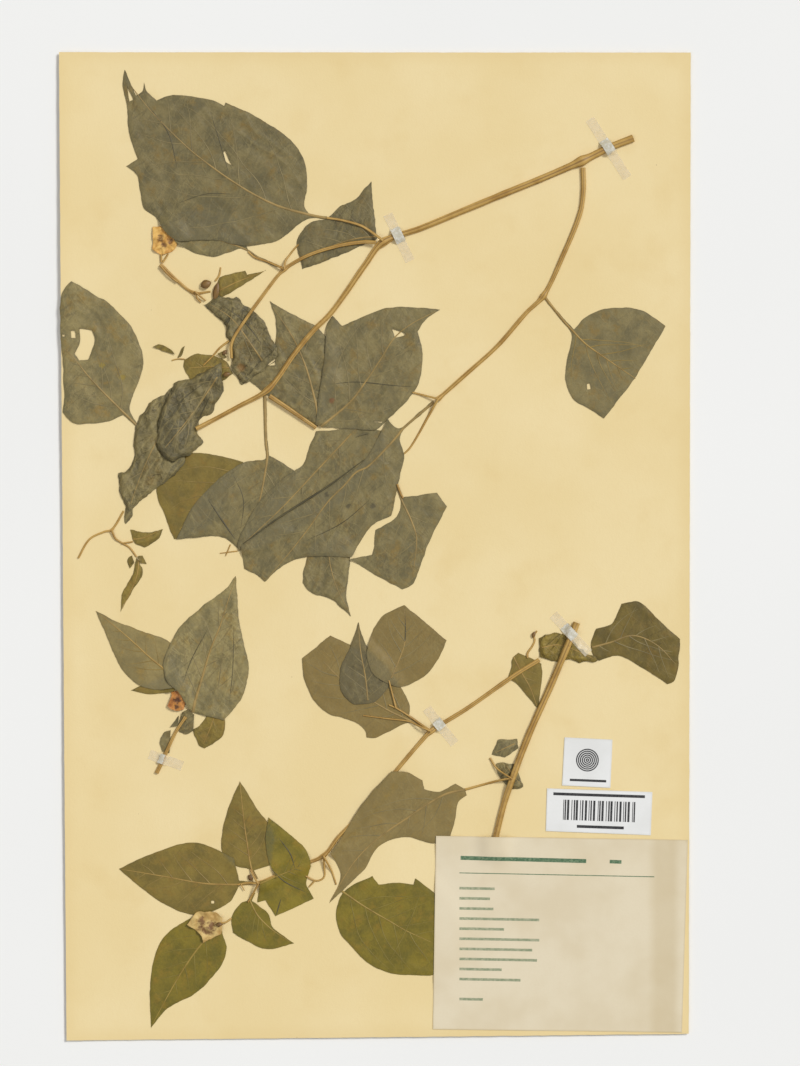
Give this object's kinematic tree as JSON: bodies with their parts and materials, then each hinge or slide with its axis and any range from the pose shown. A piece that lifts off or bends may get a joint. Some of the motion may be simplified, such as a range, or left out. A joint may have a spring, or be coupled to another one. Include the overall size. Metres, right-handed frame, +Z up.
{
  "type": "herbarium specimen sheet",
  "caption": "Pressed and dried physalis plant with leaves, stems and flowers, strapped flat to a cream mounting sheet with blank paper labels.",
  "frame": {"origin": "middle of the mounting sheet's underside, where it rests on a table", "axes": "+Z up from the sheet, +Y along its long side towards the top of the specimen, +X across it to the right"},
  "size_m": [0.269, 0.421, 0.0049],
  "materials": {
    "card": "uncoated card, aged cream, matte",
    "label_paper": "aged beige writing paper, matte",
    "white_paper": "white label paper, matte",
    "tape": "thin glued linen tape, satin",
    "stem": "dried ribbed stem, matte",
    "leaf_grey": "dried leaf, grey-green, matte",
    "leaf_olive": "dried leaf, olive brown, matte",
    "leaf_green": "dried leaf, olive green, matte",
    "petal_yellow": "dried petal, pale yellow, matte",
    "petal_orange": "dried petal, orange brown, matte",
    "petal_pale": "dried petal, pale straw, matte"
  },
  "bodies": {
    "root": {"mounting_sheet": "card", "flower_upper": "petal_yellow", "leaf_far_left": "leaf_grey", "leaf_under_top": "leaf_grey", "leaf_top": "leaf_grey", "leaf_fork": "leaf_grey", "leaf_right": "leaf_olive", "leaf_olive_under": "leaf_olive", "leaf_hanging": "leaf_grey", "leaf_crumpled_long": "leaf_grey", "leaf_round_small": "leaf_olive", "leaf_crumpled_low": "leaf_grey", "leaf_mid_left": "leaf_grey", "leaf_bud_side": "leaf_olive", "leaf_crumpled_high": "leaf_grey", "leaf_behind_diagonal": "leaf_grey", "leaf_mid_right": "leaf_grey", "leaf_folded_tip": "leaf_grey", "leaf_folded_side": "leaf_grey", "leaf_diagonal": "leaf_grey", "leaf_shoot_half": "leaf_olive", "leaf_shoot_narrow": "leaf_olive", "flower_left": "petal_orange", "left_leaf_under": "leaf_olive", "left_leaf_high": "leaf_olive", "left_leaf_torn": "leaf_olive", "left_leaf_big": "leaf_grey", "stem_leaf_outer": "leaf_grey", "stem_leaf_inner": "leaf_olive", "stem_leaf_across": "leaf_olive", "stem_leaf_small": "leaf_grey", "stem_leaf_torn": "leaf_grey", "lower_leaf_wide": "leaf_grey", "lower_leaf_middle": "leaf_grey", "lower_leaf_folded": "leaf_grey", "lower_leaf_label": "leaf_green", "lower_leaf_north": "leaf_olive", "lower_leaf_west": "leaf_olive", "lower_leaf_creased": "leaf_green", "lower_leaf_round": "leaf_green", "lower_leaf_green": "leaf_green", "flower_lower": "petal_pale", "lower_leaf_long": "leaf_grey", "square_label": "white_paper", "narrow_label": "white_paper", "form_label": "label_paper", "flower_twig": "stem", "corner_shoot": "stem", "upper_main_stem": "stem", "upper_right_branch": "stem", "upper_high_branch": "stem", "upper_low_arm": "stem", "left_stem": "stem", "lower_main_stem": "stem", "thick_stem": "stem", "strap_upper_end": "tape", "strap_upper_fork": "tape", "strap_left_stem": "tape", "strap_lower_stem": "tape", "strap_thick_stem": "tape"}
  },
  "joints": []
}
